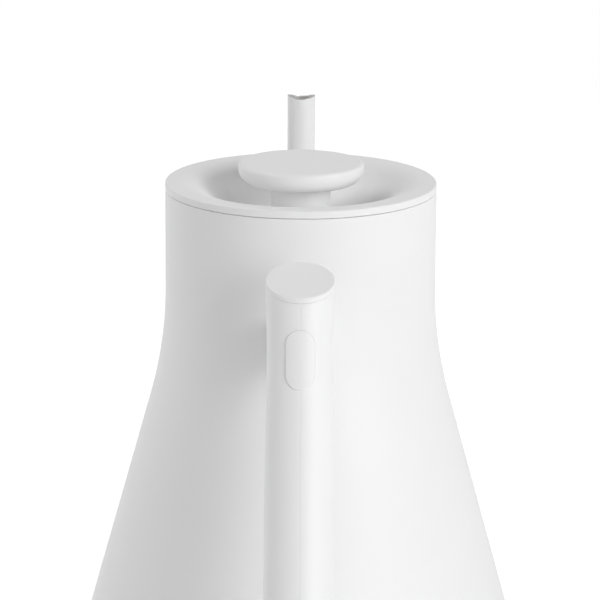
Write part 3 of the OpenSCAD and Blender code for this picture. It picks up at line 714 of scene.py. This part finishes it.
def make_grip_half(name, side, node):
    """Half shell of the grip. Its section is a half ring with rounded seam edges, and the section
    shrinks to the ring's middle line at both ends, so the ends close with a rounded edge."""
    seam, edge = 0.006, 0.03
    bend = np.linspace(0, np.pi / 2, 4)
    off = seam + edge * (1 - np.cos(bend))
    corner = edge * (1 - np.sin(bend))
    between = np.linspace(0, np.pi, 100)[2:-2]
    a = np.concatenate([np.arcsin(off / GRIP_R), between, np.pi - np.arcsin(off[::-1] / GRIP_R)])
    sink = np.concatenate([corner, 0 * between, corner[::-1]])
    end = GRIP_END_EDGE
    turn = np.linspace(0.3, np.pi / 2, 5)
    ends = [(None, 0.0), (end, 0.0)]
    ends += [(end * (1 - math.sin(t)), end * (1 - math.cos(t))) for t in turn]

    def section(inset, s_out, s_in):
        """Outer side out, inner side back, both set in by inset; None is the middle line."""
        r_out, r_in = grip_radius(s_out), np.full(a.shape, GRIP_BORE)
        middle = (r_out + r_in) / 2
        outer = middle if inset is None else r_out - inset - sink
        inner = middle if inset is None else r_in + inset
        r = np.concatenate([outer, inner[::-1]])
        s = np.concatenate([s_out, s_in[::-1]])
        b = np.concatenate([a, a[::-1]])
        return on_grip(side * r * np.sin(b), r * np.cos(b), s)

    def top_row(inset, depth):
        """Section whose points lie below the tilted top face."""
        below = CAP_T + GRIP_END_GAP + depth
        _, s_out = below_top(below, 0 if inset is None else inset, a)
        if inset is None:
            return section(inset, s_out, s_out)
        _, s_in = below_top(below, grip_radius(s_out) - GRIP_BORE, a)
        return section(inset, s_out, s_in)

    low = GRIP_L - END_H - GRIP_END_GAP
    start = CAP_T + GRIP_END_GAP + end
    _, start_out = below_top(start, 0, a)
    _, start_in = below_top(start, GRIP_R - GRIP_BORE, a)
    last = low - end
    rows = [top_row(*e) for e in ends]
    for t in np.linspace(0, 1, 140)[1:]:
        s_out, s_in = start_out + (last - start_out) * t, start_in + (last - start_in) * t
        rows.append(section(0.0, s_out, s_in))
    for inset, depth in ends[-2::-1]:
        rows.append(section(inset, np.full(a.shape, low - depth), np.full(a.shape, low - depth)))
    half = surface(name, np.array(rows), wrap_rows=False)
    cut(half, pill_cutter())
    finish_piece(half, "kettle", [PLASTIC], [node])


def make_top_cap():
    """Slice of the grip between its tilted top face and a parallel plane, with rounded edges."""
    a = np.linspace(0, 2 * np.pi, 192, endpoint=False)
    edge, foot = 0.4, GRIP_END_EDGE
    lines = [(inset, 0.0) for inset in (None, 9.0, 6.0, 3.0, 1.0, 0.6)]
    for t in np.linspace(0, np.pi / 2, 7):
        lines.append((edge * (1 - math.sin(t)), edge * (1 - math.cos(t))))
    lines += [(0.0, edge + 0.2), (0.0, CAP_T - foot - 0.1)]
    for t in np.linspace(0, np.pi / 2, 5):
        lines.append((foot * (1 - math.cos(t)), CAP_T - foot * (1 - math.sin(t))))
    lines += [(1.0, CAP_T), (None, CAP_T)]
    rows = []
    for inset, depth in lines:
        r, s = below_top(depth, 0 if inset is None else inset, a)
        if inset is None:
            r, s = 0 * a, np.full(a.shape, depth / math.cos(GRIP_LEAN + TOP_TILT))
        rows.append(on_grip(r * np.sin(a), r * np.cos(a), s))
    cap = surface("grip_cap", np.array(rows), wrap_rows=False)
    finish_piece(cap, "kettle", [PLASTIC], ["grip_top_cap"])


def make_end_cap():
    """Rounded lower end of the grip with a sunk hole for its screw, revolved about the grip."""
    r = float(grip_radius(np.array(GRIP_L - END_H)))

    def place(grid):
        """Turned points laid on the grip's axis, with their height counted up from its lower end."""
        return on_grip(grid[..., 0], grid[..., 1], GRIP_L - grid[..., 2])

    outline = rounded([
        (r, END_H, GRIP_END_EDGE), (r, 0, END_R), (SCREW_SINK_R, 0, 0.3),
        (SCREW_SINK_R, SCREW_SINK_H, 0.1), (SCREW_R, SCREW_SINK_H, 0.1), (SCREW_R, END_H, 0.2)], steps=10)
    cap = revolve("grip_end", outline, 160, place)
    finish_piece(cap, "kettle", [PLASTIC], ["grip_bottom_cap"])


def make_arm():
    """Round arm: a tube along Y whose ends follow the neck on one side and the grip on the other."""
    a = np.linspace(0, 2 * np.pi, 128, endpoint=False)
    edge, ease = 0.35, 1.0

    def ring(radius, at_neck, step):
        """Circle about the arm's line, laid on the neck's pad or on the grip and moved off by step."""
        x, z = radius * np.cos(a), ARM_Z + radius * np.sin(a)
        if at_neck:
            y = -np.sqrt((body_radius(z) + ARM_PAD) ** 2 - x ** 2) - step
        else:
            y = grip_face(x, z, ARM_GAP, side=1) + step
        return np.stack([x, y, z], -1)

    turn = np.linspace(0, np.pi / 2, 5)
    bow = [(ARM_R - edge * (1 - math.sin(t)), edge * (1 - math.cos(t))) for t in turn]
    rows = [ring(TUBE_R, True, 0.0)] + [ring(r, True, d) for r, d in bow] + [ring(ARM_R, True, ease)]
    rows += [ring(ARM_R, False, ease)] + [ring(r, False, d) for r, d in bow[::-1]]
    rows += [ring(TUBE_R, False, 0.0)]
    arm = surface("arm", np.array(rows))
    finish_piece(arm, "kettle", [PLASTIC], ["arm_cover"])


def make_button():
    """Pill button: pill outlines set in from nothing to half its width lie on the grip's surface
    grown a little, and drop over a rounded edge into the grip."""
    edge = 0.3
    lines = [(BUTTON_W / 2 * t, 0.0) for t in np.linspace(1, 0.2, 9)] + [(1.5 * edge, 0.0)]
    for t in np.linspace(0, np.pi / 2, 6):
        lines.append((edge * (1 - math.sin(t)), edge * (1 - math.cos(t))))
    lines += [(0.0, 2 * edge), (0.0, BUTTON_DEPTH), (BUTTON_W / 2, BUTTON_DEPTH)]
    rows = []
    for inset, sink in lines:
        p = stadium(inset)
        x, z = p[:, 0], p[:, 1] + BUTTON_Z
        rows.append(np.stack([x, grip_face(x, z, BUTTON_PROUD) + sink, z], -1))
    button = surface("pill_button", np.array(rows), wrap_rows=False)
    finish_piece(button, "release", [PLASTIC], ["vent_button"])


def make_spring():
    """Wire wound about the rod: circles of the wire's radius carried along a helix of even pitch
    and closed at both ends. It lies between the button and the bush."""
    low, high = cad("button_spring", 0, 1), cad("button_spring", 1, 1)
    t = np.linspace(0, 1, COILS * 32 + 1)[:, None]
    b = np.linspace(0, 2 * np.pi, 12, endpoint=False)

    def wire(share, radius):
        """Circles of a radius about the helix, one for each share of its length."""
        turn = 2 * np.pi * COILS * share
        r = COIL_R + radius * np.cos(b)
        y = high - WIRE_R + (low - high + 2 * WIRE_R) * share + radius * np.sin(b)
        return np.stack([r * np.cos(turn), y, ARM_Z + r * np.sin(turn)], -1)

    grid = np.vstack([wire(t[:1], 0.0), wire(t, WIRE_R), wire(t[-1:], 0.0)])
    spring = surface("return_spring", grid, wrap_rows=False)
    finish_piece(spring, None, [TUBE_STEEL], ["button_spring"])
    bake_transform(spring)


# ---- Stage ----

LAMP_FAR = 1.6
FLOOR_HALF = 1.0
FLOOR_DROP = 1e-4


def lamp(name, turn, rise, size, power):
    """Square area lamp LAMP_FAR from the kettle's middle, aimed at it. Turn is the angle in degrees
    from the handle's side towards +X, and rise is the angle above the horizontal."""
    aim = Vector((0, 0, 0.12))
    turn, rise = math.radians(turn), math.radians(rise)
    way = Vector((math.sin(turn) * math.cos(rise), -math.cos(turn) * math.cos(rise), math.sin(rise)))
    light = bpy.data.lights.new(name, "AREA")
    light.size = size
    light.energy = power
    made = bpy.data.objects.new(name, light)
    bpy.context.scene.collection.objects.link(made)
    made.location = aim + way * LAMP_FAR
    made.rotation_euler = (-way).to_track_quat("-Z", "Y").to_euler()


def make_lights():
    """Key from the right, weak fills from the left and front, and two high lamps behind. Each
    row is a lamp's turn and rise in degrees, its side in metres and its power in watts."""
    lamp("key_right", 50, 25, 0.7, 9.8)
    lamp("low_right", 40, 12, 0.9, 7.5)
    lamp("low_left", -80, 12, 0.9, 4.2)
    lamp("front_left", -40, 12, 0.9, 1.9)
    lamp("front", 0, 12, 0.9, 1.8)
    lamp("high_back_left", -120, 45, 0.9, 9.8)
    lamp("high_back_right", 120, 45, 0.9, 4.9)


def make_floor():
    """Pale floor. Rays from the camera and from gloss also see a plain glow, so it reads as white
    paper while the shadow stays."""
    mesh = bpy.data.meshes.new("floor")
    corners = [(x * FLOOR_HALF, y * FLOOR_HALF, -FLOOR_DROP) for x, y in ((-1, -1), (1, -1), (1, 1), (-1, 1))]
    mesh.from_pydata(corners, [], [(0, 1, 2, 3)])
    floor = bpy.data.objects.new("floor", mesh)
    bpy.context.scene.collection.objects.link(floor)
    made = bpy.data.materials.new("pale_floor")
    made.use_nodes = True
    tree = made.node_tree
    tree.nodes.clear()
    out = add(tree, "ShaderNodeOutputMaterial")
    paper = add(tree, "ShaderNodeBsdfDiffuse", Color=(0.8, 0.8, 0.8, 1))
    glow = add(tree, "ShaderNodeEmission", Color=(1, 1, 1, 1), Strength=0.62)
    seen = add(tree, "ShaderNodeLightPath")
    direct = add(tree, "ShaderNodeMath", {"operation": "MAXIMUM"},
                 i0=seen.outputs["Is Camera Ray"], i1=seen.outputs["Is Glossy Ray"])
    lit = add(tree, "ShaderNodeAddShader", i0=paper.outputs[0], i1=glow.outputs[0])
    mix = add(tree, "ShaderNodeMixShader", i0=direct.outputs[0], i1=paper.outputs[0], i2=lit.outputs[0])
    tree.links.new(mix.outputs[0], out.inputs[0])
    mesh.materials.append(made)


def make_world(strength=0.07):
    """Even sky light. Rays from the camera and from gloss see plain white."""
    world = bpy.data.worlds.new("studio")
    bpy.context.scene.world = world
    world.use_nodes = True
    tree = world.node_tree
    sky = tree.nodes["Background"]
    sky.inputs["Color"].default_value = (1, 1, 1, 1)
    sky.inputs["Strength"].default_value = strength
    seen = add(tree, "ShaderNodeLightPath")
    white = add(tree, "ShaderNodeBackground", Color=(1, 1, 1, 1), Strength=1.0)
    plain = add(tree, "ShaderNodeMath", {"operation": "MAXIMUM"},
                i0=seen.outputs["Is Camera Ray"], i1=seen.outputs["Is Glossy Ray"])
    mix = add(tree, "ShaderNodeMixShader", i0=plain.outputs[0], i1=sky.outputs[0], i2=white.outputs[0])
    tree.links.new(mix.outputs[0], tree.nodes["World Output"].inputs[0])


def make_camera():
    """Long lens behind the handle, a little above the lid, turned a third of a degree."""
    distance, pitch, roll = 1.282, math.radians(14.44), math.radians(0.32)
    aim = Vector((-0.0001, 0, (SEAM_Z - 39.03) * MM))
    look = Vector((0, math.cos(pitch), -math.sin(pitch)))
    side, top = Vector((1, 0, 0)), Vector((0, math.sin(pitch), math.cos(pitch)))
    right = math.cos(roll) * side + math.sin(roll) * top
    over = math.cos(roll) * top - math.sin(roll) * side
    data = bpy.data.cameras.new("camera")
    data.sensor_width = 36
    data.lens = 225.18
    camera = bpy.data.objects.new("camera", data)
    bpy.context.scene.collection.objects.link(camera)
    pose = Matrix((right, over, -look)).transposed().to_4x4()
    pose.translation = aim - distance * look
    camera.matrix_world = pose
    bpy.context.scene.camera = camera


# ---- Hidden CAD parts keep their shape and get a finish ----

def finish_cad_nodes():
    """Gives each CAD part that still shows, or lies inside, the finish of its real material."""
    looks = {"base_floor": STEEL, "base_core": ALUMINIUM, "stem_seal": SILICONE, "stem_nut": STEEL,
             "whistle_lower_disc": STEEL, "whistle_spacer": STEEL, "whistle_upper_disc": STEEL,
             "handle_bracket": STEEL, "arm_gasket": SILICONE, "arm_washer": STEEL, "arm_bolt": STEEL,
             "rod_bush": BUSH, "bottom_screw": STEEL, "push_rod": STEEL,
             "valve_disc": STEEL, "valve_seal": SILICONE, "valve_nut": STEEL}
    for name, look in looks.items():
        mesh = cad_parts[name].data
        mesh.materials.clear()
        mesh.materials.append(look)


make_camera()
make_body()
make_lid()
make_knob()
make_spout()
make_collar()
make_grip_half("grip_half_right", 1, "grip_right")
make_grip_half("grip_half_left", -1, "grip_left")
make_top_cap()
make_end_cap()
make_arm()
make_button()
make_spring()
finish_cad_nodes()
make_floor()
make_world()
make_lights()

bpy.context.scene.view_settings.view_transform = "Standard"
